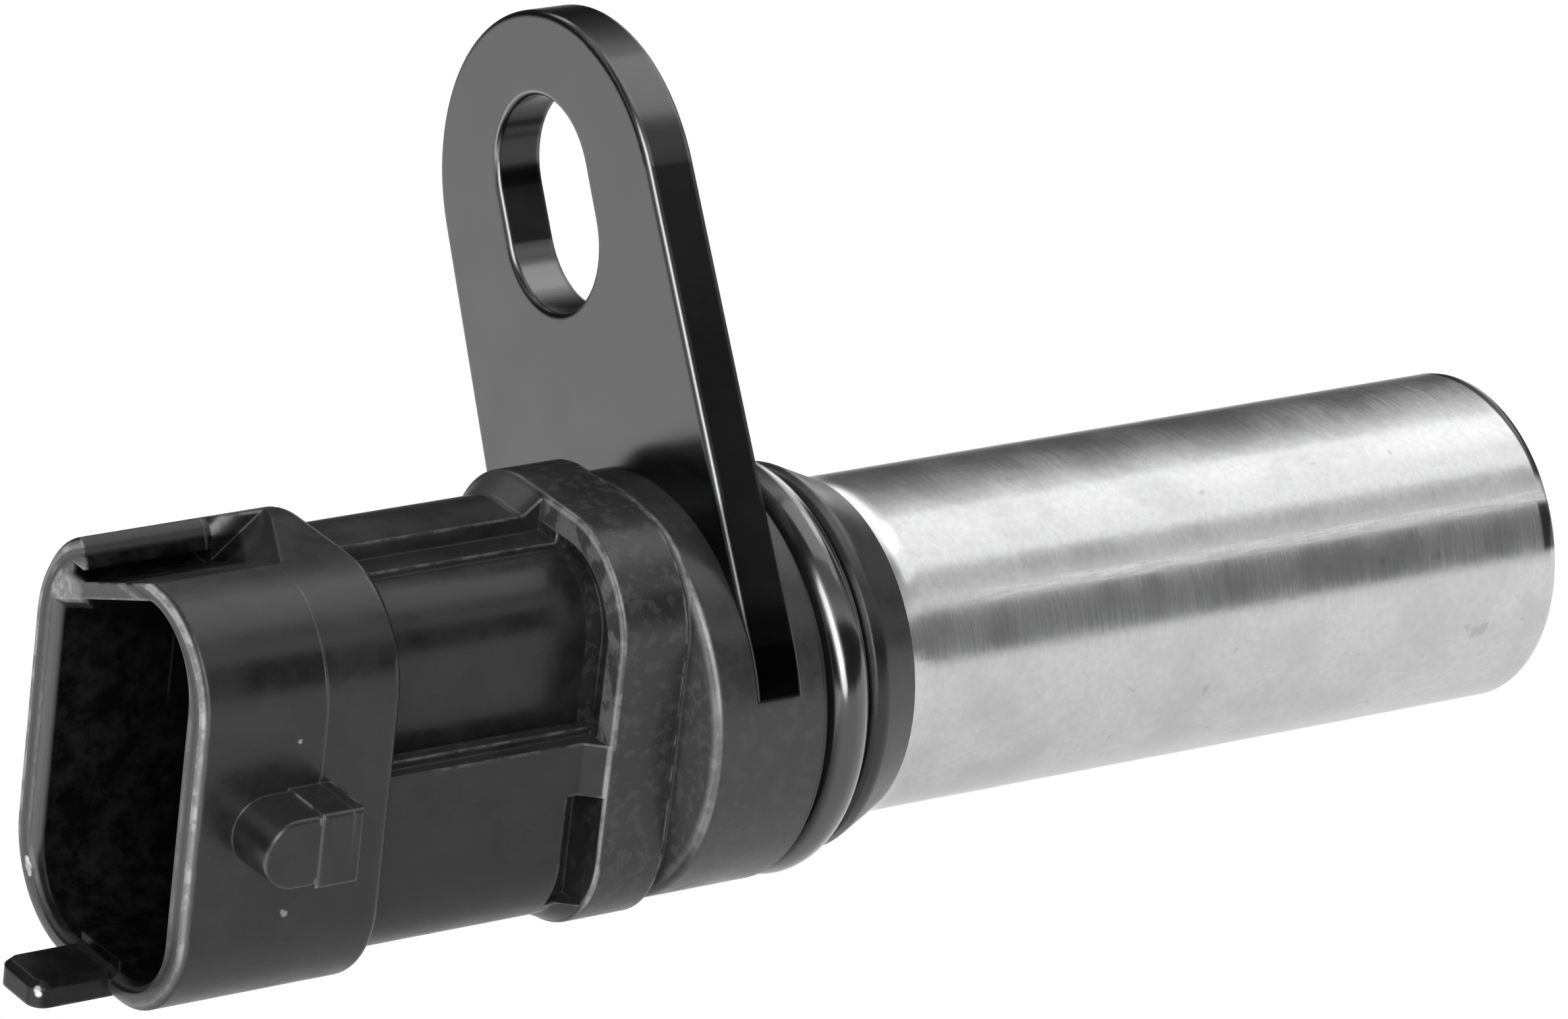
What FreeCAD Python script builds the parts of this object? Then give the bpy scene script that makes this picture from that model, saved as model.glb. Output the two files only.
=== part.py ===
import FreeCAD, Part
import math
import os

# Crankshaft position sensor: a plug-in inductive pickup with a moulded three-way connector, a slotted
# steel bracket, a seal ring and a long stainless nose that holds the coil.
#
# Frame: X runs along the sensor's axis from the connector to the tip, Z runs up along the bracket, and
# the origin lies on the axis in the bracket's engine-side face. The connector is clocked about X, so
# its sections are drawn with u across and v along its tall side, and turned afterwards.
# All sizes are in millimetres.

V = FreeCAD.Vector
ORIGIN = V(0, 0, 0)
ALONG = V(1, 0, 0)

# Bracket plate
plate_thickness = 2.75
plate_reach = 25.3
plate_top_radius = 10.2
plate_side_stand = 0.05
plate_side_drop = 2.4
plate_foot_cover = 1.6
plate_foot_band = 2.6
plate_edge_round = 0.35
slot_width = 8.5
slot_length = 11.5

# Connector shell
clock = 30.0
shell_width = 16.6
shell_height = 23.2
shell_corner = 5.9
front_reach = 34.7
shell_length = 11.7
shell_front_bevel = 0.3
shell_rear_round = 0.5
side_wall = 2.1
end_wall = 1.4
cavity_depth = 10.4
mouth_bevel = 0.5

# Guide notch in the shell's top and the coding key under it
rail_width = 4.3
notch_depth = 2.65
notch_length = 7.5
notch_roof = 0.85
undercut_depth = 1.1
undercut_height = 0.65
rail_round = 1.45
notch_run_out = 3.2
key_width = 2.5
key_drop = 1.45
key_bevel = 0.6

# Tongue under the mouth and the rail that continues it inside
tongue_width = 3.8
tongue_length = 4.35
tongue_round = 0.9
inner_rail_height = 0.5

# Latch nose on the side of the shell
latch_height = 3.2
latch_width = 3.8
latch_setback = 2.25
latch_face = 3.1
latch_heel = 2.5
latch_heel_step = 0.15
latch_round = 0.25

# Neck between the shell and the flange
neck_inset = 1.1
core_inset_side = 3.4
core_inset_top = 2.4
core_corner = 3.8
rib_edge = 0.3
ledge_height = 0.95
shelf_width = 1.6
shelf_rise = 0.35
ridge_width = 0.7
ridge_rise = 0.45
ridge_setback = 0.8

# Flange behind the neck
flange_front = 9.7
flange_length = 3.95
flange_foot_trim = 0.45
flange_round = 0.3
flange_gap = 0.5
flange_gap_depth = 0.5
flare_length = 1.4
flange_lip = 1.5
flange_recess = 1.0
relief_length = 1.7
relief_top = 2.0
relief_bottom = 8.6
relief_depth = 1.8

# Collar, seal groove and shoulder
collar_radius = 11.2
collar_front_round = 0.6
collar_spigot = 1.9
groove_bevel = 0.25
groove_width = 3.3
groove_depth = 2.85
shoulder_step = 0.8
shoulder_length = 3.45
shoulder_land = 0.9
shoulder_end_lip = 0.25

# Seal ring
ring_section = 1.43
ring_seat = 0.02

# Nose sleeve
sleeve_radius = 9.0
sleeve_wall = 0.4
sleeve_end = 0.5
sleeve_reach = 52.1
sleeve_buried = 2.3
sleeve_flare = 0.22
sleeve_flare_length = 1.5
sleeve_end_round = 0.6

# Terminals and their carrier
terminal_pitch = 5.0
blade_width = 2.8
blade_thickness = 0.8
blade_length = 4.6
blade_bevel = 0.6
shank_width = 1.6
screen_shank = 8.0
carrier_width = 4.4
carrier_height = 14.6
carrier_length = 7.5
carrier_skin = 1.6

# Coil bobbin and what it carries
stem_reach = 13.25
disc_thickness = 2.0
disc_clearance = 0.2
cup_wall = 0.75
magnet_radius = 3.25
magnet_length = 6.0
back_plate_thickness = 1.5
cheek_thickness = 1.2
cheek_clearance = 0.6
cheek_rear = 25.25
hub_wall = 0.9
winding_length = 20.55
winding_cover = 1.1
tape_thickness = 0.2
pole_radius = 2.5
pole_head = 1.6
post_radius = 0.4
post_length = 8.5
post_grip = 2.5
post_pad = 3.0
tail_overlap = 3.75

# Worked-out places
half_width = shell_width / 2
half_height = shell_height / 2
mouth_x = -front_reach
shell_rear_x = mouth_x + shell_length
cavity_floor_x = mouth_x + cavity_depth
flange_x = -flange_front
flange_end_x = flange_x + flange_length
collar_x = flange_end_x + flange_gap
plate_side_radius = collar_radius + plate_side_stand
plate_foot_radius = collar_radius - plate_foot_cover
plate_hole_radius = plate_foot_radius - plate_foot_band
groove_floor = collar_radius - groove_depth
shoulder_radius = collar_radius - shoulder_step
shoulder_end_radius = sleeve_radius + shoulder_end_lip
groove_end_x = collar_spigot + groove_width
shoulder_end_x = groove_end_x + shoulder_length
sleeve_open_x = shoulder_end_x - sleeve_buried
sleeve_bore = sleeve_radius - sleeve_wall
sleeve_floor_x = sleeve_reach - sleeve_end
cup_radius = magnet_radius + cup_wall
hub_radius = pole_radius + hub_wall
cheek_radius = sleeve_bore - cheek_clearance
winding_radius = cheek_radius - winding_cover
post_offset = blade_thickness / 2 + post_radius


def clocked(shape, turn=0.0):
    """Turn a shape drawn in the connector's own upright frame to its place about the axis."""
    turned_shape = shape.copy()
    turned_shape.rotate(ORIGIN, ALONG, clock + turn)
    return turned_shape


def box(x0, x1, y0, y1, z0, z1):
    return Part.makeBox(x1 - x0, y1 - y0, z1 - z0, V(x0, y0, z0))


def rod(x0, x1, radius, y=0.0, z=0.0):
    return Part.makeCylinder(radius, x1 - x0, V(x0, y, z), ALONG)


def rounded_wire(x, left, right, bottom, top, corner):
    """Closed rectangle with round corners in the plane at x; left and right are across, top is up."""
    lean = corner * (1 - math.sqrt(0.5))
    corners = (
        (right, top, -1, -1),
        (left, top, 1, -1),
        (left, bottom, 1, 1),
        (right, bottom, -1, 1),
    )
    points = []
    for index, (u, v, to_u, to_v) in enumerate(corners):
        on_side = V(x, u, v + to_v * corner)
        on_end = V(x, u + to_u * corner, v)
        middle = V(x, u + to_u * lean, v + to_v * lean)
        points.append((on_side, middle, on_end) if index % 2 == 0 else (on_end, middle, on_side))
    edges = []
    for index, (start, middle, end) in enumerate(points):
        edges.append(Part.Arc(start, middle, end).toShape())
        following = points[(index + 1) % len(points)][0]
        edges.append(Part.makeLine(end, following))
    return Part.Wire(edges)


def outline(x, inset=0.0):
    """The shell's section, drawn in by the given amount."""
    u = half_width - inset
    v = half_height - inset
    return rounded_wire(x, -u, u, -v, v, shell_corner - inset)


def prism(wire, length):
    return Part.Face(wire).extrude(V(length, 0, 0))


def slab(x0, x1, corners):
    """Prism along X of a polygon given by its (u, v) corners."""
    points = [V(x0, u, v) for u, v in corners]
    return prism(Part.makePolygon(points + points[:1]), x1 - x0)


def turned(profile, bends=None):
    """Solid of revolution about X from (x, radius) corners; a bend curves the run after its corner."""
    bends = bends or {}
    points = [V(x, 0, radius) for x, radius in profile]
    edges = []
    for index, start in enumerate(points):
        end = points[(index + 1) % len(points)]
        if index in bends:
            x, radius = bends[index]
            edges.append(Part.Arc(start, V(x, 0, radius), end).toShape())
        else:
            edges.append(Part.makeLine(start, end))
    return Part.Face(Part.Wire(edges)).revolve(ORIGIN, ALONG, 360)


def edges_in_plane(shape, x):
    return [e for e in shape.Edges if all(abs(v.X - x) < 1e-6 for v in e.Vertexes)]


def rim_at(shape, x, radius):
    """The circular edge about the axis at a place and radius."""
    found = []
    for edge in edges_in_plane(shape, x):
        curve = edge.Curve
        if isinstance(curve, Part.Circle) and abs(curve.Radius - radius) < 1e-6:
            found.append(edge)
    return found


# Bracket plate
def plate_outline_solid(inset=0.0, x0=-plate_thickness, length=plate_thickness):
    """The plate's full-width body: two circles joined by their outer tangents."""
    low = plate_side_radius - inset
    high = plate_top_radius - inset
    lean = math.asin((low - high) / plate_reach)
    side = V(0, math.cos(lean), math.sin(lean))
    other = V(0, -side.y, side.z)
    top = V(x0, 0, plate_reach)
    foot = V(x0, 0, 0)
    edges = [
        Part.Arc(top + side * high, V(x0, 0, plate_reach + high), top + other * high).toShape(),
        Part.makeLine(top + other * high, foot + other * low),
        Part.Arc(foot + other * low, V(x0, 0, -low), foot + side * low).toShape(),
        Part.makeLine(foot + side * low, top + side * high),
    ]
    return prism(Part.Wire(edges), length)


def slot_tool():
    straight = (slot_length - slot_width) / 2
    x0 = -plate_thickness - 1
    x1 = 1.0
    tool = box(x0, x1, -slot_width / 2, slot_width / 2, plate_reach - straight, plate_reach + straight)
    for end in (-straight, straight):
        tool = tool.fuse(rod(x0, x1, slot_width / 2, 0.0, plate_reach + end))
    return tool.removeSplitter()


def mounting_bracket():
    wide = plate_side_radius + 1
    below = box(-plate_thickness - 1, 1, -wide, wide, -wide, -plate_side_drop)
    body = plate_outline_solid().cut(below)
    body = body.cut(slot_tool())
    front = [e for e in edges_in_plane(body, -plate_thickness) if e.BoundBox.ZMax > 0]
    body = body.makeFillet(plate_edge_round, front)
    body = body.fuse(rod(-plate_thickness, 0, plate_foot_radius)).removeSplitter()
    body = body.cut(rod(-plate_thickness - 1, 1, plate_hole_radius))
    under_collar = rod(-plate_thickness - 1, 1, collar_radius)
    return body.cut(under_collar).fuse(body.common(under_collar))


# Connector shell
def notch_line(u, drop=0.0):
    """Height of the notch's sloping floor at u, lowered square to itself by drop."""
    near = -(half_width - shell_corner)
    far = half_width - rail_width
    slope = notch_depth / (far - near)
    return half_height - (u - near) * slope - drop * math.hypot(1.0, slope)


def shell_solid():
    shell = prism(outline(mouth_x), shell_length)
    shell = shell.makeChamfer(shell_front_bevel, edges_in_plane(shell, mouth_x))
    return shell.makeFillet(shell_rear_round, edges_in_plane(shell, shell_rear_x))


def cavity_tool():
    """What is taken out of the shell: its inside, less the roof under the notch and the coding key."""
    side = half_width - side_wall
    end = half_height - end_wall
    corner = shell_corner - side_wall
    inside = prism(rounded_wire(mouth_x - 1, -side, side, -end, end, corner), cavity_depth + 1)
    wide = rounded_wire(mouth_x - 0.01, -side - mouth_bevel, side + mouth_bevel,
                        -end - mouth_bevel, end + mouth_bevel, corner + mouth_bevel)
    narrow = rounded_wire(mouth_x + mouth_bevel, -side, side, -end, end, corner)
    inside = inside.fuse(Part.makeLoft([wide, narrow], True, True))
    x0 = mouth_x - 2
    x1 = cavity_floor_x + 1
    above = half_height + 2
    far = half_width
    roof = slab(x0, x1, [(-far, notch_line(-far, notch_roof)), (far, notch_line(far, notch_roof)),
                         (far, above), (-far, above)])
    key_side = side - key_width
    key = slab(mouth_x, x1, [(key_side, notch_line(key_side, key_drop)), (far, notch_line(far, key_drop)),
                             (far, above), (key_side, above)])
    lower = [e for e in edges_in_plane(key, mouth_x) if e.BoundBox.ZMax < half_height]
    key = key.makeChamfer(key_bevel, lower)
    inside = inside.cut(roof).cut(key)
    rail = box(mouth_x + mouth_bevel, x1, -tongue_width / 2, tongue_width / 2,
               -half_height, -end + inner_rail_height)
    return inside.cut(rail)


def notch_tool():
    """Guide notch beside the rounded rail, with an undercut in the rail's foot and a sloping end."""
    x0 = mouth_x - 1
    x1 = mouth_x + notch_length
    near = shell_corner - half_width - 1
    far = half_width - rail_width
    above = half_height + 2
    foot = notch_line(far)
    start = foot + undercut_height
    lean = rail_round * (1 - math.sqrt(0.5))
    crest = far + rail_round

    def section(x):
        corners = [V(x, crest, start + rail_round), V(x, crest, above), V(x, near, above),
                   V(x, near, notch_line(near)), V(x, far, foot), V(x, far, start)]
        edges = [Part.makeLine(a, b) for a, b in zip(corners, corners[1:])]
        middle = V(x, far + lean, start + rail_round - lean)
        edges.append(Part.Arc(corners[-1], middle, corners[0]).toShape())
        return Part.Face(Part.Wire(edges))

    main = section(x0).extrude(V(x1 - x0, 0, 0))
    run_out = section(x1).extrude(V(notch_run_out, 0, notch_depth))
    undercut = box(x0, x1, far - 0.2, far + undercut_depth, foot, start)
    return main.fuse([run_out, undercut])


def tongue_solid():
    floor = -half_height + end_wall
    tip_x = mouth_x - tongue_length
    tongue = box(tip_x, mouth_x + end_wall, -tongue_width / 2, tongue_width / 2, -half_height, floor)
    corners = [e for e in edges_in_plane(tongue, tip_x) if e.BoundBox.ZLength > 0.5]
    tongue = tongue.makeFillet(tongue_round, corners)
    upper = [e for e in tongue.Edges if e.BoundBox.ZMin > floor - 1e-6 and e.BoundBox.XMax < mouth_x - 0.01]
    return tongue.makeChamfer(end_wall / 4, upper)


def latch_solid():
    """Round-fronted locking nose standing on the side of the shell, with a square heel behind it."""
    top = -(half_width + latch_height)
    root = -half_width + side_wall / 2
    half = latch_width / 2
    front_x = mouth_x + latch_setback
    centre_x = front_x + half
    heel_x = front_x + latch_face
    nose = Part.makeCylinder(half, root - top, V(centre_x, top, 0), V(0, 1, 0))
    nose = nose.fuse(box(centre_x, heel_x, top, root, -half, half)).removeSplitter()
    rim = [e for e in nose.Edges if e.BoundBox.YMax < top + 1e-6 and e.BoundBox.XMin < heel_x - 0.01]
    nose = nose.makeFillet(latch_round, rim)
    step = latch_heel_step
    heel = box(heel_x, heel_x + latch_heel, top - step, root, -half - step, half + step)
    rim = [e for e in heel.Edges if e.BoundBox.YMax < top - step + 1e-6]
    heel = heel.makeFillet(latch_round, rim)
    return nose.fuse(heel)


# Neck and flange
def pocket_region(x0, x1):
    """The corner of the neck that is cored out, between the top rib and the ledge."""
    return box(x0, x1, -half_width - 1, rib_edge, ledge_height, half_height + 1)


def core_solid(x0, x1):
    """The round-cornered core left standing in the pocket."""
    far = half_width + 2 * core_corner
    low = -half_height - 2 * core_corner
    left = -half_width + core_inset_side
    top = half_height - core_inset_top
    return prism(rounded_wire(x0, left, far, low, top, core_corner), x1 - x0)


def pocket_tool():
    core = core_solid(shell_rear_x - 1, flange_x + flange_recess + 1)
    tool = pocket_region(shell_rear_x, flange_x).cut(core)
    core_top = half_height - core_inset_top
    shelf = box(shell_rear_x, flange_x, rib_edge - shelf_width, rib_edge, core_top - 1, core_top + shelf_rise)
    ridge_u = -half_width + neck_inset + ridge_setback
    ridge = box(shell_rear_x, flange_x, ridge_u, ridge_u + ridge_width, 0, ledge_height + ridge_rise)
    tool = tool.cut(shelf).cut(ridge)
    lip = prism(outline(flange_x - 0.1, flange_lip), flange_recess + 0.1)
    recess_region = box(flange_x - 0.1, flange_x + flange_recess, -half_width - 1, rib_edge - shelf_width,
                        ledge_height, half_height + 1)
    recess = lip.common(recess_region).cut(core)
    return tool.fuse(recess)


def flange_wire(x, inset=0.0):
    """The flange repeats the shell's section, a little shorter at the foot."""
    u = half_width - inset
    v = half_height - inset
    return rounded_wire(x, -u, u, -v + flange_foot_trim, v, shell_corner - inset)


def relief_tool():
    """Gap in the neck's lower side, just in front of the flange."""
    floor = -half_width + neck_inset + relief_depth
    gap = box(flange_x - relief_length, flange_x, -half_width - 1, floor, -relief_bottom, -relief_top)
    return gap


def connector_body():
    """Shell, neck and flange in the upright frame of the connector."""
    neck = prism(outline(shell_rear_x - 1, neck_inset), flange_x - shell_rear_x + 2)
    flange = prism(flange_wire(flange_x), flange_length)
    flange = flange.makeFillet(flange_round, edges_in_plane(flange, flange_x))
    root = prism(flange_wire(flange_x + flange_round, flange_gap_depth), flange_length + flange_gap)
    flare_end = flange_x + flange_round
    wires = [outline(flare_end - flare_length, neck_inset), flange_wire(flare_end)]
    flare = Part.makeLoft(wires, True, True)
    body = shell_solid().fuse([neck, flare, flange, root])
    for turn in (0, 180):
        for tool in (pocket_tool(), relief_tool()):
            tool.rotate(ORIGIN, ALONG, turn)
            body = body.cut(tool)
    body = body.fuse([tongue_solid(), latch_solid()])
    return body.cut(notch_tool()).cut(cavity_tool())


# Collar, groove, shoulder and stem
def collar_solid():
    """Turned body behind the flange; the shoulder's land runs through a tangent bend into its taper."""
    land_x = groove_end_x + shoulder_land
    lean = math.atan2(shoulder_radius - shoulder_end_radius, shoulder_end_x - land_x)
    back = shoulder_land * math.tan(lean / 2)
    half_turn = (land_x - back + shoulder_land * math.sin(lean / 2),
                 shoulder_radius - shoulder_land * (1 - math.cos(lean / 2)))
    profile = [
        (collar_x, 0.0),
        (collar_x, collar_radius),
        (collar_spigot, collar_radius),
        (collar_spigot, groove_floor),
        (groove_end_x, groove_floor),
        (groove_end_x, shoulder_radius),
        (land_x - back, shoulder_radius),
        (land_x + back * math.cos(lean), shoulder_radius - back * math.sin(lean)),
        (shoulder_end_x, shoulder_end_radius),
        (shoulder_end_x, sleeve_radius),
        (sleeve_open_x, sleeve_radius),
        (sleeve_open_x, sleeve_bore),
        (stem_reach, sleeve_bore),
        (stem_reach, 0.0),
    ]
    solid = turned(profile, {6: half_turn})
    solid = solid.makeFillet(collar_front_round, rim_at(solid, collar_x, collar_radius))
    rear = rim_at(solid, collar_spigot, collar_radius) + rim_at(solid, groove_end_x, shoulder_radius)
    return solid.makeChamfer(groove_bevel, rear)


def terminal(v, tail_x):
    """Flat blade in the connector with a narrower shank running back into the moulding."""
    tip_x = cavity_floor_x - blade_length
    root_x = cavity_floor_x + carrier_skin
    thick = blade_thickness / 2
    blade = box(tip_x, root_x, -thick, thick, v - blade_width / 2, v + blade_width / 2)
    blade = blade.makeChamfer(blade_bevel / 2, [e for e in edges_in_plane(blade, tip_x)
                                                if e.BoundBox.ZLength > blade_thickness])
    shank = box(root_x, tail_x, -thick, thick, v - shank_width / 2, v + shank_width / 2)
    return clocked(blade.fuse(shank).removeSplitter())


def terminals():
    tail_x = stem_reach + tail_overlap + disc_thickness
    screen_x = cavity_floor_x + carrier_skin + screen_shank
    return {
        "terminal_upper": terminal(terminal_pitch, tail_x),
        "terminal_screen": terminal(0.0, screen_x),
        "terminal_lower": terminal(-terminal_pitch, tail_x),
    }


def terminal_carrier(blades):
    x0 = cavity_floor_x + carrier_skin / 2
    block = box(x0, x0 + carrier_length, -carrier_width / 2, carrier_width / 2,
                -carrier_height / 2, carrier_height / 2)
    return clocked(block).cut(blades)


def body_moulding(plate, blades, carrier):
    body = clocked(connector_body()).fuse(collar_solid())
    hole_plug = rod(-plate_thickness, 0, plate_hole_radius)
    body = body.cut(plate).fuse(hole_plug)
    body = body.cut(blades + [carrier])
    return body.removeSplitter()


# Nose
def nose_sleeve():
    """Drawn cup whose wall swells a little where it leaves the shoulder."""
    swell_end = shoulder_end_x + sleeve_flare_length
    profile = [
        (sleeve_open_x, sleeve_bore),
        (sleeve_open_x, sleeve_radius),
        (shoulder_end_x, sleeve_radius),
        (shoulder_end_x, sleeve_radius + sleeve_flare),
        (swell_end, sleeve_radius),
        (sleeve_reach, sleeve_radius),
        (sleeve_reach, 0.0),
        (sleeve_floor_x, 0.0),
        (sleeve_floor_x, sleeve_bore),
    ]
    swell = (shoulder_end_x + sleeve_flare_length / 2, sleeve_radius + sleeve_flare / 4)
    solid = turned(profile, {3: swell})
    return solid.makeFillet(sleeve_end_round, rim_at(solid, sleeve_reach, sleeve_radius))


def seal_ring():
    centre = V((collar_spigot + groove_end_x) / 2, 0, 0)
    return Part.makeTorus(groove_floor + ring_seat + ring_section, ring_section, centre, ALONG)


# Coil pack
def posts():
    """Two short pins in the bobbin's rear cheek, welded to the terminal tails."""
    rear_x = cheek_rear + cheek_thickness - post_grip - post_length + cheek_thickness
    made = {}
    for name, side in (("winding_post_upper", 1), ("winding_post_lower", -1)):
        made[name] = clocked(rod(rear_x, rear_x + post_length, post_radius, post_offset,
                                 side * terminal_pitch))
    return made


def coil_bobbin(blades, pins):
    disc_x = stem_reach + disc_thickness
    front_x = cheek_rear + cheek_thickness + winding_length
    bobbin = rod(stem_reach, disc_x, sleeve_bore - disc_clearance)
    bobbin = bobbin.fuse(rod(disc_x, cheek_rear, cup_radius))
    bobbin = bobbin.fuse(rod(cheek_rear, cheek_rear + cheek_thickness, cheek_radius))
    bobbin = bobbin.fuse(rod(cheek_rear, front_x, hub_radius))
    bobbin = bobbin.fuse(rod(front_x, front_x + cheek_thickness, cheek_radius))
    pad_half = post_radius * 3
    for side in (1, -1):
        v = side * terminal_pitch
        pad = box(cheek_rear - post_pad + cheek_thickness, cheek_rear, -pad_half + post_offset,
                  pad_half + post_offset, v - pad_half, v + pad_half)
        bobbin = bobbin.fuse(clocked(pad))
    bobbin = bobbin.removeSplitter()
    return bobbin.cut(blades + pins).cut([magnet(), back_plate(), pole_pin()])


def magnet_rear_x():
    return cheek_rear + cheek_thickness - pole_head - magnet_length


def magnet():
    return rod(magnet_rear_x(), magnet_rear_x() + magnet_length, magnet_radius)


def back_plate():
    return rod(magnet_rear_x() - back_plate_thickness, magnet_rear_x(), magnet_radius)


def pole_pin():
    """Soft iron pole: a head against the magnet and a long shaft that ends on the sleeve's floor."""
    head_x = magnet_rear_x() + magnet_length
    head = rod(head_x, head_x + pole_head, magnet_radius)
    return head.fuse(rod(head_x, sleeve_floor_x, pole_radius)).removeSplitter()


def tube(x0, x1, inner, outer):
    return rod(x0, x1, outer).cut(rod(x0 - 1, x1 + 1, inner))


def potting_fill(held):
    """Resin that fills the sleeve around the coil pack."""
    return rod(stem_reach, sleeve_floor_x, sleeve_bore).cut(held)


def build():
    pieces = {}
    pieces["mounting_bracket"] = mounting_bracket()
    blades = terminals()
    pieces.update(blades)
    blade_list = list(blades.values())
    pieces["terminal_carrier"] = terminal_carrier(blade_list)
    pieces["body_moulding"] = body_moulding(pieces["mounting_bracket"], blade_list,
                                            pieces["terminal_carrier"])
    pieces["nose_sleeve"] = nose_sleeve()
    pieces["seal_ring"] = seal_ring()
    pins = posts()
    pieces.update(pins)
    pieces["coil_bobbin"] = coil_bobbin(blade_list, list(pins.values()))
    pieces["magnet"] = magnet()
    pieces["back_plate"] = back_plate()
    pieces["pole_pin"] = pole_pin()
    wind_x = cheek_rear + cheek_thickness
    wound_x = wind_x + winding_length
    pieces["coil_winding"] = tube(wind_x, wound_x, hub_radius, winding_radius)
    pieces["winding_tape"] = tube(wind_x, wound_x, winding_radius, winding_radius + tape_thickness)
    inner = ("coil_bobbin", "magnet", "back_plate", "pole_pin", "coil_winding", "winding_tape")
    held = [pieces[name] for name in inner] + blade_list + list(pins.values()) + [pieces["nose_sleeve"]]
    pieces["potting_fill"] = potting_fill(held)
    return pieces


def main():
    os.makedirs("parts", exist_ok=True)
    for name, shape in build().items():
        shape.exportStep("parts/" + name + ".step")


main()
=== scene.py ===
import math
from types import SimpleNamespace

import bpy
from mathutils import Matrix, Vector

# Crankshaft position sensor in a plain studio. Metres, in the part's own frame: X along the sensor's
# axis towards the nose, Z up the bracket, origin on the axis in the bracket's mounting face.

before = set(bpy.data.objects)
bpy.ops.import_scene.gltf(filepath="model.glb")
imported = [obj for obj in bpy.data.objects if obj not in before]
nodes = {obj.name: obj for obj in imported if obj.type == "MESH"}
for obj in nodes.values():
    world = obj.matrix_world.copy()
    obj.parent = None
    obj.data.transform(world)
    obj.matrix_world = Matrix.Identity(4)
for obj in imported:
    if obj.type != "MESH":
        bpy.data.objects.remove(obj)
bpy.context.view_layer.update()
MM = 0.001

# The connector's section, in mm. Its own axes are turned about X: u across, v up
CLOCKING = math.radians(30.0)
HALF_WIDTH, HALF_HEIGHT, CORNER = 8.3, 11.6, 5.9

# Stretches of the moulding along X, in mm
GUIDE_RAIL = (-39.5, -30.0)
RIM = (-34.9, -34.5)
MOUTH = (-34.45, -23.6)
PARTING_LINE = (-27.56, -27.42)
NECK = (-22.9, -9.9)
FLARE = (-11.2, -9.5)
FLANGE_FRONT = (-9.80, -9.50)
FLANGE = (-9.72, -5.74)
COLLAR_FACE = (-5.36, -5.14)
COLLAR_EDGE = (-5.20, -4.85)
COLLAR_SIDE = (-4.95, 1.5)

# Sheared side and slot wall of the bracket along X, and a little over half the slot's width, in mm
BRACKET_SIDE = (-2.35, -0.20)
SLOT_WALL = (-2.50, -0.20)
SLOT_HALF = 4.4

# Painted glints, small white highlights on the mouth's rim and the tongue: place and reach in mm
GLINT_SPOTS = (
    (-34.7, 9.87, -3.42, 0.30),
    (-34.7, 9.87, -3.72, 0.40),
    (-34.7, 9.87, -4.06, 0.28),
    (-38.7, 4.0, -9.98, 0.27),
    (-38.7, 4.0, -10.18, 0.24),
)
# Pale moulding pips on the shell's side: place and reach in mm
PIPS = (
    (-28.85, -4.66, -8.47, 0.24),
    (-29.0, -4.80, -8.39, 0.18),
    (-28.95, -9.49, -0.17, 0.17),
)

# Brightness of the studio round the X axis, in degrees upwards from -Y
STUDIO_BANDS = (
    (-170, 1.0), (-150, 0.7), (-50, 0.8), (-27, 0.8), (-23, 0.03), (8.5, 0.03),
    (12.5, 0.95), (16, 0.85), (21, 0.70), (27, 0.42), (37, 0.48), (43, 0.25), (50, 0.08),
    (79, 0.12), (86, 0.80), (92, 0.70), (102, 0.32), (116, 0.12), (132, 0.03),
    (156, 0.04), (167, 0.5), (175, 1.0),
)


def grey(value, blue=0.0):
    """Neutral colour, or a slightly bluish one."""
    return value, value, value + blue


WHITE = (*grey(1.0), 1.0)
# Marks, painted light and painted shade on the plastic
DUST_AND_SHEEN = grey(0.075, 0.001)
PAINTED_SEAM_HIGHLIGHT = grey(0.040, 0.001)
WEAR_AND_HIGHLIGHT = grey(0.38)
RIM_SHADE = grey(0.004)
PAINTED_GLINT = grey(0.95)
# Painted light and painted shade on the bracket
PAINTED_SIDE_SHADE = grey(0.036, 0.001)
PAINTED_ROOT_SHADE = grey(0.060)
PAINTED_FOOT_SHADE = grey(0.018)
PAINTED_SLOT_SHADE = grey(0.050)
PAINTED_SLOT_LIGHT = grey(0.250)
# Marks on the sleeve
PIT = grey(0.42)
DULL_STEEL = grey(0.50, 0.005)
RUBBED_STEEL = grey(0.92)
NOSE_RIM = grey(0.03)


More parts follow.
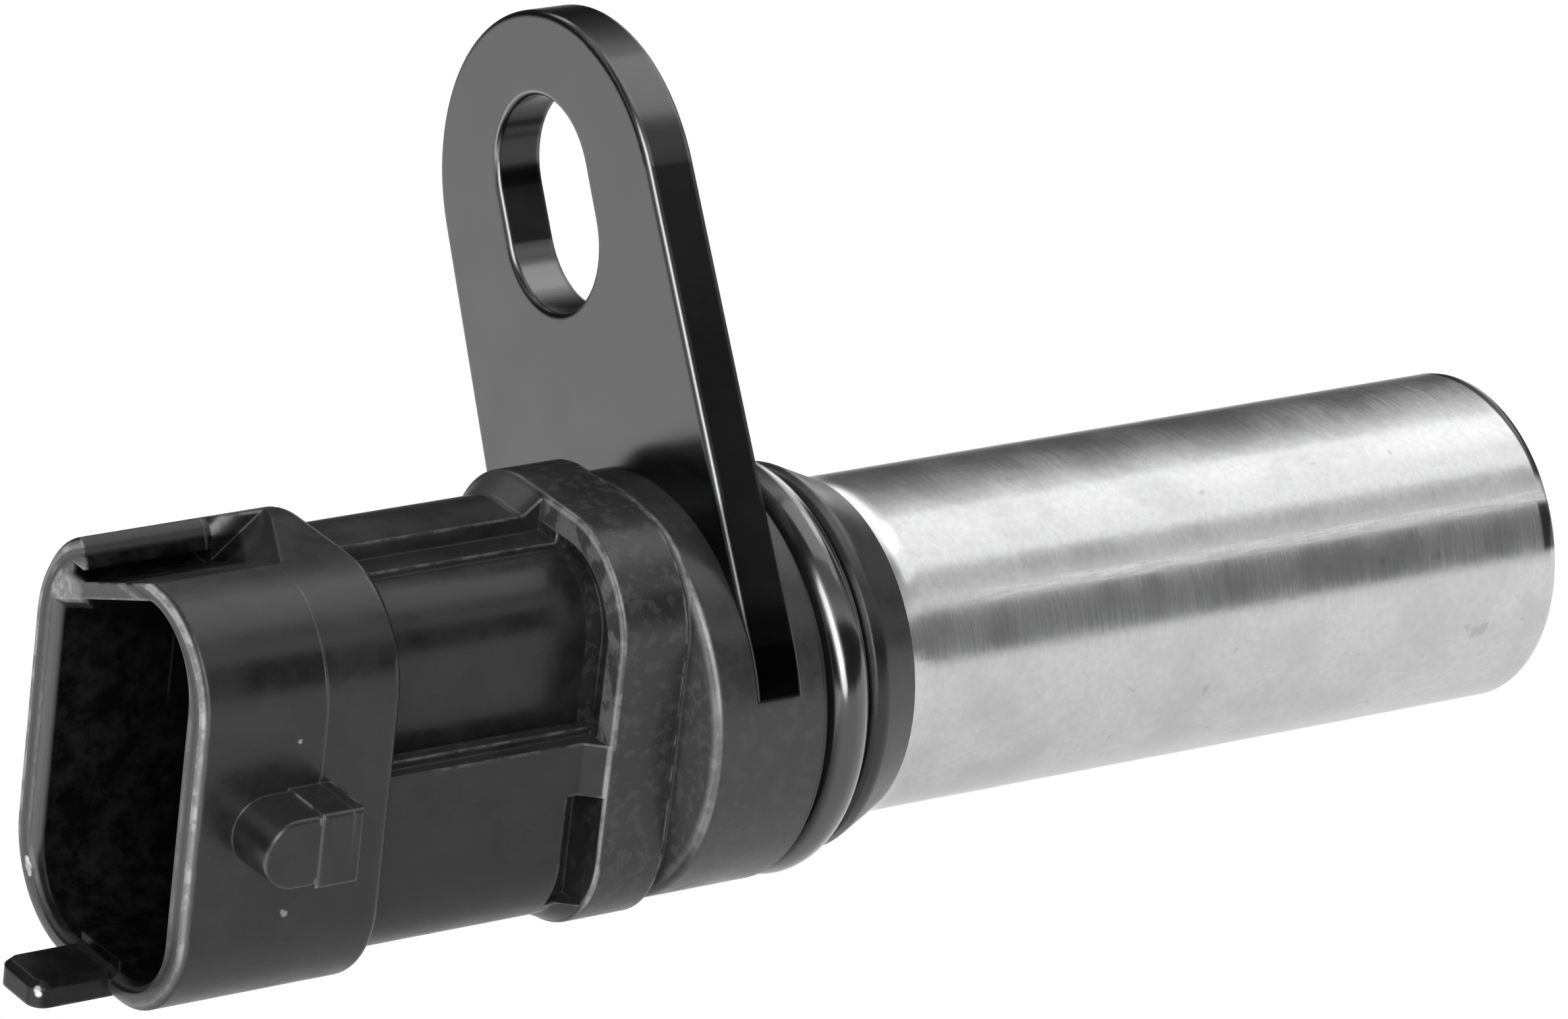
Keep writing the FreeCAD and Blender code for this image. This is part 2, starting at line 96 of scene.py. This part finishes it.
class Graph:
    """Adds shader nodes to a material or a world and joins them."""

    def __init__(self, owner):
        owner.use_nodes = True
        self.tree = owner.node_tree
        self.tree.nodes.clear()

    def add(self, kind, **settings):
        node = self.tree.nodes.new(kind)
        for name, value in settings.items():
            setattr(node, name, value)
        return node

    def join(self, source, target):
        self.tree.links.new(source, target)

    def feed(self, socket, value):
        """Sets a socket to a number or colour, or joins it to another node's output."""
        if isinstance(value, bpy.types.NodeSocket):
            self.join(value, socket)
        else:
            socket.default_value = value

    def math(self, operation, a, b=0.0):
        node = self.add("ShaderNodeMath", operation=operation)
        self.feed(node.inputs[0], a)
        self.feed(node.inputs[1], b)
        return node.outputs[0]

    def chain(self, operation, values):
        total = values[0]
        for value in values[1:]:
            total = self.math(operation, total, value)
        return total

    def times(self, *values):
        return self.chain("MULTIPLY", values)

    def plus(self, *values):
        return self.chain("ADD", values)

    def most(self, *values):
        return self.chain("MAXIMUM", values)

    def least(self, *values):
        return self.chain("MINIMUM", values)

    def minus(self, a, b):
        return self.math("SUBTRACT", a, b)

    def without(self, mask):
        """1 where the mask is 0 and the other way round."""
        return self.minus(1.0, mask)

    def remap(self, value, low, high, to_low, to_high, smooth=True):
        """Runs from to_low at low to to_high at high and stays level beyond them."""
        node = self.add("ShaderNodeMapRange")
        node.interpolation_type = "SMOOTHSTEP" if smooth else "LINEAR"
        self.feed(node.inputs["Value"], value)
        limits = {"From Min": low, "From Max": high, "To Min": to_low, "To Max": to_high}
        for name, number in limits.items():
            node.inputs[name].default_value = number
        return node.outputs["Result"]

    def fade(self, value, start, end, at_start, at_end):
        """Smooth change between two places given in mm."""
        return self.remap(value, start * MM, end * MM, at_start, at_end)

    def between(self, mask, at_none, at_full, smooth=True):
        """at_none where the mask is 0, at_full where it is 1."""
        return self.remap(mask, 0.0, 1.0, at_none, at_full, smooth)

    def band(self, value, low, high, soft):
        """1 between low and high, falling to 0 over soft on both sides."""
        rise = self.remap(value, low - soft, low + soft, 0.0, 1.0)
        fall = self.remap(value, high - soft, high + soft, 1.0, 0.0)
        return self.times(rise, fall)

    def strip(self, value, limits, soft=0.12):
        """The same between two places, with all of it given in mm."""
        low, high = limits
        return self.band(value, low * MM, high * MM, soft * MM)

    def within(self, value, reach):
        """1 up to reach, in mm, on either side of 0."""
        return self.strip(value, (-reach, reach))

    def place(self):
        """Object coordinates, which equal the part's frame in metres."""
        return self.add("ShaderNodeTexCoord").outputs["Object"]

    def faces_up(self):
        """How far the surface faces upwards, -1 to 1."""
        return self.split(self.add("ShaderNodeTexCoord").outputs["Normal"])[2]

    def split(self, vector):
        node = self.add("ShaderNodeSeparateXYZ")
        self.join(vector, node.inputs[0])
        return node.outputs

    def combine(self, x, y, z):
        node = self.add("ShaderNodeCombineXYZ")
        for socket, value in zip(node.inputs, (x, y, z)):
            self.feed(socket, value)
        return node.outputs[0]

    def near_any(self, where, spots):
        """1 at spots given in mm, falling to 0 at each one's reach."""
        share = 0.0
        for *point, reach in spots:
            node = self.add("ShaderNodeVectorMath", operation="DISTANCE")
            self.feed(node.inputs[0], where)
            node.inputs[1].default_value = [value * MM for value in point]
            share = self.most(self.fade(node.outputs["Value"], 0.45 * reach, reach, 1.0, 0.0), share)
        return share

    def outer_edges(self, reach):
        """1 on outward edges, falling to 0 at about reach in mm from them."""
        node = self.add("ShaderNodeAmbientOcclusion", samples=8, inside=True, only_local=True)
        node.inputs["Distance"].default_value = reach * MM
        return self.remap(node.outputs["AO"], 0.62, 0.92, 1.0, 0.0)

    def noise(self, where, scale, detail, rough):
        node = self.add("ShaderNodeTexNoise")
        self.join(where, node.inputs["Vector"])
        node.inputs["Scale"].default_value = scale
        node.inputs["Detail"].default_value = detail
        node.inputs["Roughness"].default_value = rough
        return node.outputs["Fac"]

    def ramp(self, factor, *stops):
        """Colours run through stops, each a place from 0 to 1 and a colour."""
        node = self.add("ShaderNodeValToRGB")
        elements = node.color_ramp.elements
        while len(elements) < len(stops):
            elements.new(0.5)
        for element, (place, colour) in zip(elements, stops):
            element.position = place
            element.color = (*colour, 1.0)
        self.join(factor, node.inputs[0])
        return node.outputs[0]

    def blend(self, a, b, share):
        node = self.add("ShaderNodeMix", data_type="RGBA")
        self.feed(node.inputs[0], share)
        for socket, value in ((node.inputs[6], a), (node.inputs[7], b)):
            self.feed(socket, (*value, 1.0) if isinstance(value, tuple) else value)
        return node.outputs[2]

    def paint(self, colour, *coats):
        """Lays coats over a colour, each one a colour and the mask where it shows."""
        for coat, mask in coats:
            colour = self.blend(colour, coat, mask)
        return colour

    def bevel(self, radius, samples=6):
        """Normal that rounds the edges by a radius in mm."""
        node = self.add("ShaderNodeBevel", samples=samples)
        node.inputs["Radius"].default_value = radius * MM
        return node.outputs["Normal"]

    def bump(self, height, distance, strength, normal=None):
        """Normal tilted by a height map that is distance mm high."""
        node = self.add("ShaderNodeBump")
        node.inputs["Strength"].default_value = strength
        node.inputs["Distance"].default_value = distance * MM
        self.join(height, node.inputs["Height"])
        if normal is not None:
            self.join(normal, node.inputs["Normal"])
        return node.outputs["Normal"]

    def finish(self, shader, kind="ShaderNodeOutputMaterial"):
        self.join(shader, self.add(kind).inputs["Surface"])

    def surface(self, colour, roughness, normal, **sockets):
        shader = self.add("ShaderNodeBsdfPrincipled")
        self.feed(shader.inputs["Base Color"], colour)
        self.feed(shader.inputs["Roughness"], roughness)
        self.join(normal, shader.inputs["Normal"])
        for name, value in sockets.items():
            self.feed(shader.inputs[name.replace("_", " ")], value)
        self.finish(shader.outputs[0])


def new_material(name):
    material = bpy.data.materials.new(name)
    return material, Graph(material)


# Coordinates and masks on the moulding
def inside_outline(g, u, v):
    """How far a place lies inside the connector's rounded outline, negative inwards."""
    across = g.minus(g.math("ABSOLUTE", u), (HALF_WIDTH - CORNER) * MM)
    up = g.minus(g.math("ABSOLUTE", v), (HALF_HEIGHT - CORNER) * MM)
    out_across, out_up = g.most(across, 0.0), g.most(up, 0.0)
    outer = g.math("SQRT", g.plus(g.times(out_across, out_across), g.times(out_up, out_up)))
    inner = g.least(g.most(across, up), 0.0)
    return g.minus(g.plus(outer, inner), CORNER * MM)


def moulding_coordinates(g):
    """x, y and z of the part, u and v in the connector's section, and depth in its outline."""
    where = g.place()
    x, y, z = g.split(where)
    cosine, sine = math.cos(CLOCKING), math.sin(CLOCKING)
    u = g.plus(g.times(y, cosine), g.times(z, sine))
    v = g.minus(g.times(z, cosine), g.times(y, sine))
    return SimpleNamespace(where=where, x=x, y=y, z=z, u=u, v=v, depth=inside_outline(g, u, v))


def mouth_mask(g, at, rail):
    """The connector's hollow mouth, and its guide rail at less strength, where painted shade darkens the
    colour.
    """
    opening = g.times(g.within(at.u, 6.3), g.within(at.v, 10.3), g.fade(at.depth, -1.1, -0.7, 1.0, 0.0))
    return g.most(g.times(g.strip(at.x, MOUTH, 0.06), opening), g.times(rail, 0.75))


def dust_and_sheen_mask(g, at, mouth, rim, speck):
    """Pale dust on the flange and the mouth's rim; painted sheen on the collar's front face, upward faces
    and the flange's flare; the collar's side painted paler towards its bottom.
    """
    flange = g.times(g.strip(at.x, FLANGE, 0.04), g.between(speck, 0.10, 0.32))
    # painted sheen on the collar's front face
    collar_face = g.times(g.strip(at.x, COLLAR_FACE, 0.05), g.between(speck, 0.6, 1.0))
    # painted light: upward faces paler
    top_sheen = g.times(
        g.remap(g.faces_up(), 0.25, 0.95, 0.0, 0.19),
        g.between(speck, 0.8, 1.1),
        g.without(mouth),
    )
    # the collar's side painted paler towards its bottom
    collar_paling = g.times(
        g.strip(at.x, COLLAR_SIDE, 0.1),
        g.between(speck, 0.95, 1.3),
        g.fade(at.z, -3.0, 2.5, 0.36, 0.10),
    )
    # painted highlight on the top of the flange's flare
    flare = g.times(
        g.strip(at.x, FLARE),
        g.fade(at.v, 6.0, 10.0, 0.0, 0.8),
        g.fade(at.u, 0.3, 1.5, 0.0, 1.0),
    )
    return g.most(g.plus(flange, collar_face, top_sheen, collar_paling, g.times(rim, 0.35)), flare)


def wear_and_highlight_mask(g, at, mouth, rim, chips):
    """Pale lines, part wear and part painted highlight, along the mouth's rim, the flange's lip, the
    collar's edge and outer edges, and moulding pips.
    """
    # The mouth's rim, paled as wear and painted highlight: an outer line, a fainter inner one and a lobe
    # of painted light in the upper far corner
    outer_line = g.times(
        rim, g.strip(at.depth, (-0.55, -0.16), 0.07), g.fade(at.v, -9.0, -4.0, 0.2, 1.0)
    )
    inner_line = g.times(rim, g.strip(at.depth, (-1.50, -1.22), 0.08))
    lobe = g.times(rim, g.strip(at.u, (4.1, 6.9), 0.3), g.strip(at.v, (7.1, 8.7), 0.3))
    # The flange's lip on the latch's side, painted lighter as sheen, with painted highlights along both
    # its edges
    front = g.times(g.strip(at.x, FLANGE_FRONT, 0.05), g.fade(at.u, -0.5, 0.5, 1.0, 0.0))
    lip = g.times(front, g.strip(at.depth, (-1.50, 0.1), 0.05), g.fade(at.v, 0.6, 1.2, 0.0, 1.0))
    lip_edges = g.plus(
        g.times(lip, g.strip(at.depth, (-1.60, -1.36), 0.05), 0.45),
        g.times(front, g.strip(at.depth, (-0.36, -0.12), 0.06), 0.75),
    )
    # painted highlight along the collar's front edge
    collar_edge = g.times(g.strip(at.x, COLLAR_EDGE, 0.08), g.fade(at.y, -7.0, -5.0, 1.0, 0.0), 0.45)
    # All other outer edges, paled as wear and painted highlight, less on the neck and none on the collar's
    # side
    edges = g.times(
        g.outer_edges(0.22),
        g.without(mouth),
        g.between(g.strip(at.x, NECK), 1.0, 0.4, False),
        g.fade(at.x, -4.6, -3.9, 1.0, 0.0),
    )
    marks = (
        (g.most(outer_line, lobe), 0.45, 1.0),
        (inner_line, 0.10, 0.30),
        (lip, 0.10, 0.38),
        (g.most(lip_edges, collar_edge), 0.6, 1.0),
        (edges, 0.05, 0.40),
        (g.near_any(at.where, PIPS), 0.30, 0.60),
    )
    return g.most(*(g.times(mask, g.between(chips, low, high)) for mask, low, high in marks))


# Materials
def moulded_plastic():
    """Black glass-filled plastic: grain, flow marks, a parting line, dust and worn edges, with painted
    highlights, painted sheen and painted shade.
    """
    material, g = new_material("moulded_black_plastic")
    at = moulding_coordinates(g)
    rail = g.times(g.within(at.u, 2.0), g.strip(at.v, (-12.0, -8.8)), g.strip(at.x, GUIDE_RAIL))
    mouth = mouth_mask(g, at, rail)
    rim = g.times(g.strip(at.x, RIM, 0.08), g.without(rail))
    line = g.times(g.strip(at.x, PARTING_LINE, 0.05), g.strip(at.v, (0.5, 11.0), 1.0))

    grain = g.noise(at.where, 3600.0, 3.0, 0.65)
    cloud = g.noise(at.where, 420.0, 4.0, 0.6)
    broad = g.noise(at.where, 90.0, 3.0, 0.5)
    mottle = g.noise(at.where, 700.0, 4.0, 0.7)
    speck = g.remap(g.noise(at.where, 1500.0, 2.0, 0.6), 0.50, 0.62, 0.0, 1.0)
    chips = g.remap(g.noise(at.where, 900.0, 3.0, 0.6), 0.40, 0.62, 0.0, 1.0)

    colour = g.ramp(cloud, (0.3, grey(0.0085, 0.0001)), (0.7, grey(0.0160, 0.0002)))
    # painted shade: darker, mottled colour inside the mouth, the guide rail darker too at less strength
    mouth_shade_colour = g.ramp(mottle, (0.42, grey(0.002)), (0.66, grey(0.010)))
    colour = g.paint(
        colour,
        (mouth_shade_colour, mouth),
        # pale dust, with painted sheen and painted light
        (DUST_AND_SHEEN, dust_and_sheen_mask(g, at, mouth, rim, speck)),
        # painted highlight along the parting line's ridge
        (PAINTED_SEAM_HIGHLIGHT, g.times(line, 0.7)),
        # wear and painted highlights on edges and rims
        (WEAR_AND_HIGHLIGHT, wear_and_highlight_mask(g, at, mouth, rim, chips)),
        (RIM_SHADE, g.times(rim, g.strip(at.depth, (-1.04, -0.80), 0.07))),
        # painted glints: small white highlights on the rim and the tongue
        (PAINTED_GLINT, g.times(g.near_any(at.where, GLINT_SPOTS), g.between(chips, 0.6, 1.0))),
    )
    rough = g.plus(
        g.remap(cloud, 0.3, 0.7, 0.24, 0.34),
        g.remap(broad, 0.3, 0.7, -0.03, 0.04),
        g.times(g.strip(at.x, COLLAR_FACE, 0.05), 0.25),
    )
    shine = g.times(
        g.between(mouth, 0.58, 0.16, False), g.between(g.strip(at.x, NECK), 1.0, 0.80, False)
    )
    normal = g.bump(grain, 0.008, 0.6, g.bevel(0.20))
    normal = g.bump(broad, 0.12, 0.10, normal)
    normal = g.bump(line, 0.03, 0.8, normal)
    g.surface(colour, rough, normal, IOR=1.52, Specular_IOR_Level=shine)
    return material


def plated_steel():
    """Dark passivated plate: satin face, painted shade on its sides, at its root and darkest where it
    enters the moulding, and painted light and shade in the slot.
    """
    material, g = new_material("dark_plated_steel")
    where = g.place()
    x, y, z = g.split(where)
    slot = g.times(g.within(y, SLOT_HALF), g.fade(z, 12.0, 14.0, 0.0, 1.0))
    # painted shade on the sides, less towards the top and in the slot
    side = g.times(
        g.strip(x, BRACKET_SIDE, 0.05), g.fade(z, 25.5, 30.0, 1.0, 0.15), g.between(slot, 1.0, 0.35)
    )
    # The slot's wall: painted shade above and at its end, painted light below
    wall = g.times(slot, g.strip(x, SLOT_WALL, 0.05))
    wall_top = g.times(wall, g.fade(z, 25.5, 27.5, 0.0, 0.85))
    wall_low = g.times(wall, g.fade(z, 18.5, 20.5, 0.0, 1.0), g.fade(z, 22.0, 23.5, 0.8, 0.0))
    wall_end = g.times(wall, g.fade(z, 17.8, 19.2, 0.8, 0.0))

    fine = g.noise(where, 2600.0, 3.0, 0.6)
    cloud = g.noise(where, 160.0, 4.0, 0.55)
    colour = g.ramp(cloud, (0.25, grey(0.140, 0.002)), (0.75, grey(0.164, 0.002)))
    colour = g.paint(
        colour,
        # painted shade on the sides
        (PAINTED_SIDE_SHADE, g.times(side, 0.90)),
        # painted shade where the plate meets the moulding, darkest at its foot
        (PAINTED_ROOT_SHADE, g.fade(z, 7.3, 8.7, 1.0, 0.0)),
        (PAINTED_FOOT_SHADE, g.fade(z, 1.5, 3.5, 1.0, 0.0)),
        # painted shade and painted light on the slot's wall
        (PAINTED_SLOT_SHADE, g.most(wall_top, wall_end)),
        (PAINTED_SLOT_LIGHT, wall_low),
    )
    rough = g.remap(cloud, 0.25, 0.75, 0.17, 0.23)
    g.surface(colour, rough, g.bump(fine, 0.004, 0.35, g.bevel(0.18)), Metallic=1.0)
    return material


def nose_rim(g, x, z):
    """Dark line on the rounded end of the sleeve: an arc above and a short block in the middle."""
    end = 53.0
    along = g.plus(x, g.fade(z, 3.0, 8.5, 0.0, 0.30 * MM))
    arc = g.times(g.strip(along, (51.42, end), 0.06), g.fade(z, 1.7, 2.5, 0.0, 0.94))
    block = g.times(g.strip(x, (51.05, end), 0.12), g.strip(z, (-1.85, 0.75), 0.25), 0.88)
    return g.most(arc, block)


def drawn_stainless():
    """Bright deep-drawn sleeve: fine lines round it, slight waves, pits and a rubbed line."""
    material, g = new_material("drawn_stainless")
    where = g.place()
    x, y, z = g.split(where)
    angle = g.math("ARCTAN2", z, y)
    lines = g.noise(g.combine(g.times(x, 9000.0), 0.0, g.times(angle, 2.2)), 1.0, 3.0, 0.65)
    streaks = g.noise(g.combine(g.times(x, 420.0), 0.0, g.times(angle, 45.0)), 1.0, 3.0, 0.6)
    wave = g.noise(where, 210.0, 3.0, 0.55)
    speck = g.noise(where, 2400.0, 3.0, 0.7)
    pits = g.remap(g.noise(where, 620.0, 2.0, 0.5), 0.70, 0.76, 0.0, 1.0)
    low, high, soft = (math.radians(degrees) for degrees in (171.0, 175.5, 0.7))
    rubbed = g.times(
        g.band(angle, low, high, soft),
        g.remap(streaks, 0.40, 0.62, 0.15, 0.85),
        g.fade(x, 11.0, 16.0, 0.0, 1.0),
    )

    colour = g.ramp(speck, (0.35, grey(0.64, 0.005)), (0.65, grey(0.71, 0.005)))
    colour = g.paint(
        colour,
        (PIT, g.times(pits, 0.6)),
        (DULL_STEEL, g.remap(wave, 0.36, 0.58, 0.40, 0.0)),
        (RUBBED_STEEL, rubbed),
        (NOSE_RIM, nose_rim(g, x, z)),
    )
    rough = g.plus(
        g.remap(wave, 0.3, 0.7, 0.16, 0.24),
        g.remap(lines, 0.35, 0.65, -0.02, 0.04),
        g.times(rubbed, 0.06),
    )
    normal = g.bump(lines, 0.002, 0.5)
    normal = g.bump(wave, 0.05, 0.25, normal)
    normal = g.bump(speck, 0.003, 0.3, normal)
    g.surface(colour, rough, normal, Metallic=0.84)
    return material


def seal_rubber():
    """Oily black rubber, dull on the flanks that face the groove's walls."""
    material, g = new_material("seal_rubber")
    where = g.place()
    x = g.split(where)[0]
    fine = g.noise(where, 1800.0, 3.0, 0.6)
    cloud = g.noise(where, 260.0, 3.0, 0.5)
    flank = g.most(g.fade(x, 2.35, 2.85, 1.0, 0.0), g.fade(x, 4.25, 4.65, 0.0, 1.0))
    shine = g.between(flank, 1.0, 0.12, False)
    colour = g.ramp(cloud, (0.3, grey(0.005)), (0.7, grey(0.009)))
    rough = g.remap(cloud, 0.3, 0.7, 0.13, 0.20)
    oil = {"Coat_Weight": shine, "Coat_Roughness": 0.12}
    g.surface(colour, rough, g.bump(fine, 0.004, 0.25), IOR=1.56, Specular_IOR_Level=shine, **oil)
    return material


def tinned_brass():
    """Tinned blades and winding posts."""
    material, g = new_material("tinned_terminal")
    fine = g.noise(g.place(), 1500.0, 3.0, 0.6)
    colour = g.ramp(fine, (0.3, (0.58, 0.57, 0.55)), (0.7, (0.70, 0.69, 0.67)))
    rough = g.remap(fine, 0.3, 0.7, 0.22, 0.36)
    g.surface(colour, rough, g.bump(fine, 0.003, 0.3, g.bevel(0.08, 4)), Metallic=1.0)
    return material


def plain_inner(name, colours, scale, roughness, metallic=0.0):
    """Finish for the sealed pieces inside. Colours and roughness run with one noise."""
    material, g = new_material(name)
    cloud = g.noise(g.place(), scale, 4.0, 0.6)
    colour = g.ramp(cloud, (0.3, colours[0]), (0.7, colours[1]))
    rough = g.remap(cloud, 0.3, 0.7, *roughness)
    g.surface(colour, rough, g.bump(cloud, 0.01, 0.3), Metallic=metallic)
    return material


def wound_copper():
    """Enamelled wire laid in close turns round the axis."""
    wire = 0.16
    material, g = new_material("enamelled_copper")
    where = g.place()
    turns = g.math("SINE", g.times(g.split(where)[0], 2 * math.pi / (wire * MM)))
    cloud = g.noise(where, 700.0, 3.0, 0.6)
    colour = g.ramp(cloud, (0.3, (0.42, 0.16, 0.06)), (0.7, (0.58, 0.24, 0.10)))
    rough = g.remap(cloud, 0.3, 0.7, 0.22, 0.34)
    g.surface(colour, rough, g.bump(turns, 0.03, 0.8), Metallic=1.0)
    return material


def dress():
    """Gives each node its material."""
    plastic = moulded_plastic()
    terminal = tinned_brass()
    bobbin = plain_inner("bobbin_plastic", (grey(0.03), grey(0.045)), 900.0, (0.4, 0.55))
    iron = plain_inner("turned_iron", (grey(0.28), grey(0.36)), 1500.0, (0.3, 0.42), 1.0)
    magnet = plain_inner("ground_magnet", (grey(0.10, 0.01), grey(0.16, 0.01)), 2200.0, (0.4, 0.5), 1.0)
    tape = plain_inner("film_tape", ((0.55, 0.42, 0.12), (0.66, 0.52, 0.18)), 600.0, (0.25, 0.35))
    resin = plain_inner("cast_resin", (grey(0.02), grey(0.04)), 500.0, (0.2, 0.3))
    finishes = {
        "body_moulding": plastic,
        "mounting_bracket": plated_steel(),
        "nose_sleeve": drawn_stainless(),
        "seal_ring": seal_rubber(),
        "terminal_upper": terminal,
        "terminal_screen": terminal,
        "terminal_lower": terminal,
        "terminal_carrier": plastic,
        "coil_bobbin": bobbin,
        "coil_winding": wound_copper(),
        "winding_tape": tape,
        "pole_pin": iron,
        "magnet": magnet,
        "back_plate": iron,
        "winding_post_upper": terminal,
        "winding_post_lower": terminal,
        "potting_fill": resin,
    }
    for name, material in finishes.items():
        slots = nodes[name].material_slots
        if not slots:
            nodes[name].data.materials.append(material)
        for slot in slots:
            slot.material = material


# Floor, world and lamps
def floor_mesh(left, right, front, back, height):
    """Flat sheet with rounded corners."""
    corner, steps = 0.04, 8
    centres = (
        (right - corner, front + corner, -90),
        (right - corner, back - corner, 0),
        (left + corner, back - corner, 90),
        (left + corner, front + corner, 180),
    )
    ring = []
    for centre_x, centre_y, start in centres:
        for step in range(steps + 1):
            angle = math.radians(start + step * 90 / steps)
            ring.append((centre_x + corner * math.cos(angle), centre_y + corner * math.sin(angle), height))
    mesh = bpy.data.meshes.new("studio_floor")
    mesh.from_pydata(ring, [], [tuple(range(len(ring)))])
    return mesh


def make_floor(height):
    """Pale sheet well below the held sensor. Its rim fades into the white beyond."""
    left, right, front, back = -0.16, 0.70, -0.102, 0.80
    mesh = floor_mesh(left, right, front, back, height)
    floor = bpy.data.objects.new("studio_floor", mesh)
    bpy.context.scene.collection.objects.link(floor)
    material, g = new_material("pale_floor")
    x, y = g.split(g.place())[:2]
    rim_width = 0.07
    inside = g.least(g.minus(x, left), g.minus(right, x), g.minus(y, front), g.minus(back, y))
    white = g.most(g.remap(inside, 0.0, rim_width, 1.0, 0.0), g.remap(y, 0.14, 0.42, 0.0, 1.0))

    # Glow that the camera sees, and another one that shiny pieces mirror
    path = g.add("ShaderNodeLightPath").outputs
    seen = g.most(path["Is Camera Ray"], path["Is Transmission Ray"])
    shown = g.times(seen, g.between(white, 0.30, 1.0, False))
    far_side = g.times(g.remap(y, 0.16, 0.40, 0.28, 0.95), g.remap(x, 0.03, 0.12, 0.6, 1.25))
    left_end = g.remap(x, -0.080, -0.045, 1.6, 0.0)
    mirrored = g.times(path["Is Glossy Ray"], g.plus(far_side, left_end))

    diffuse = g.add("ShaderNodeBsdfDiffuse")
    diffuse.inputs["Color"].default_value = (*grey(0.86), 1.0)
    glow = g.add("ShaderNodeEmission")
    glow.inputs["Color"].default_value = WHITE
    g.join(g.most(shown, mirrored), glow.inputs["Strength"])
    both = g.add("ShaderNodeAddShader")
    g.join(diffuse.outputs[0], both.inputs[0])
    g.join(glow.outputs[0], both.inputs[1])
    g.finish(both.outputs[0])
    mesh.materials.append(material)


def make_world():
    """White where the camera looks past the object; softer bands of a studio in the reflections."""
    world = bpy.data.worlds.new("studio_world")
    bpy.context.scene.world = world
    g = Graph(world)

    def background(colour, strength):
        node = g.add("ShaderNodeBackground")
        g.feed(node.inputs["Color"], colour)
        node.inputs["Strength"].default_value = strength
        return node.outputs[0]

    def mix(share, first, second):
        node = g.add("ShaderNodeMixShader")
        for socket, source in zip(node.inputs, (share, first, second)):
            g.join(source, socket)
        return node.outputs[0]

    x, y, z = g.split(g.add("ShaderNodeTexCoord").outputs["Generated"])
    turn = g.math("ARCTAN2", z, g.times(y, -1.0))
    share = g.plus(g.math("DIVIDE", turn, 2 * math.pi), 0.5)
    bands = g.ramp(share, *((degrees / 360.0 + 0.5, grey(value)) for degrees, value in STUDIO_BANDS))
    # One brighter card above, towards the nose
    card = g.times(
        g.band(x, 0.655, 0.80, 0.035), g.band(turn, math.radians(64), math.radians(152), 0.1)
    )
    bands = g.blend(bands, grey(1.8), card)
    path = g.add("ShaderNodeLightPath").outputs
    mirrored = g.most(path["Is Glossy Ray"], path["Is Transmission Ray"])
    lit = mix(mirrored, background(WHITE, 0.28), background(bands, 1.0))
    seen = mix(path["Is Camera Ray"], lit, background(WHITE, 1.0))
    g.finish(seen, "ShaderNodeOutputWorld")


def area_lamp(name, away, upright, distance, width, height, power):
    """Rectangular lamp facing the sensor from the direction away, its height along upright."""
    target = Vector((0.005, 0, 0.005))
    data = bpy.data.lights.new(name, "AREA")
    data.shape = "RECTANGLE"
    data.size = width
    data.size_y = height
    data.energy = power
    lamp = bpy.data.objects.new(name, data)
    z = Vector(away).normalized()
    x = Vector(upright).cross(z).normalized()
    turn = Matrix((x, z.cross(x), z)).transposed().to_4x4()
    lamp.matrix_world = Matrix.Translation(target + z * distance) @ turn
    lamp.visible_camera = False
    bpy.context.scene.collection.objects.link(lamp)


def toward(azimuth, elevation):
    """Direction away from the part, in radians: azimuth from -Y towards +X, elevation upwards."""
    return Vector((
        math.sin(azimuth) * math.cos(elevation),
        -math.cos(azimuth) * math.cos(elevation),
        math.sin(elevation),
    ))


def make_lamps():
    high, low, lower = (
        toward(math.radians(azimuth), math.radians(elevation))
        for azimuth, elevation in ((-43, 29), (-20, -17), (-14, -29))
    )
    # Name, direction, upright, then distance, width and height in metres, and power in watts
    area_lamp("overhead_softbox", (0.45, -0.55, 1.0), (0, 0.88, 0.48), 0.62, 0.80, 0.42, 1.16)
    area_lamp("front_strip", high + lower, high - lower, 0.60, 0.20, 0.70, 2.8)
    area_lamp("front_softbox", high + low, high - low, 0.62, 0.36, 0.60, 0.9)
    area_lamp("left_low_card", (-0.88, 0.0, -0.42), (0, 0, 1), 0.34, 0.26, 0.16, 0.30)
    area_lamp("back_top_card", (0.1, 0.4, 0.9), (0, 0.9, -0.4), 0.60, 0.30, 0.14, 0.22)


def make_camera():
    """The photograph's view: long lens, nearly level, rolled so that the nose rises to the right."""
    azimuth, elevation, roll = (math.radians(v) for v in (-33.7565, -1.4030, -10.5552))
    back = toward(azimuth, elevation)
    level_right = (-back).cross(Vector((0, 0, 1))).normalized()
    level_up = level_right.cross(-back)
    right = level_right * math.cos(roll) + level_up * math.sin(roll)
    up = level_up * math.cos(roll) - level_right * math.sin(roll)

    # The view was fitted in the photograph's pixels, with its origin in the bracket's other face,
    # one plate thickness towards the connector
    image_width, image_height = 2380.0, 1547.0
    origin_pixel = (962.70, 1033.32)
    plate = Vector((2.75, 0, 0))
    pixels_per_mm, distance_mm = 29.0968, 507.95
    across = (origin_pixel[0] - image_width / 2) / pixels_per_mm
    above = (image_height / 2 - origin_pixel[1]) / pixels_per_mm
    place = back * distance_mm - right * across - up * above - plate

    data = bpy.data.cameras.new("photo_camera")
    data.sensor_width = 36.0
    data.lens = pixels_per_mm * distance_mm / image_width * data.sensor_width
    data.clip_start = 0.01
    data.clip_end = 60.0
    camera = bpy.data.objects.new("photo_camera", data)
    turn = Matrix((right, up, back)).transposed().to_4x4()
    camera.matrix_world = Matrix.Translation(place * MM) @ turn
    bpy.context.scene.collection.objects.link(camera)
    bpy.context.scene.camera = camera


dress()
make_floor(-0.050)
make_world()
make_lamps()
make_camera()
bpy.context.scene.view_settings.view_transform = "Standard"
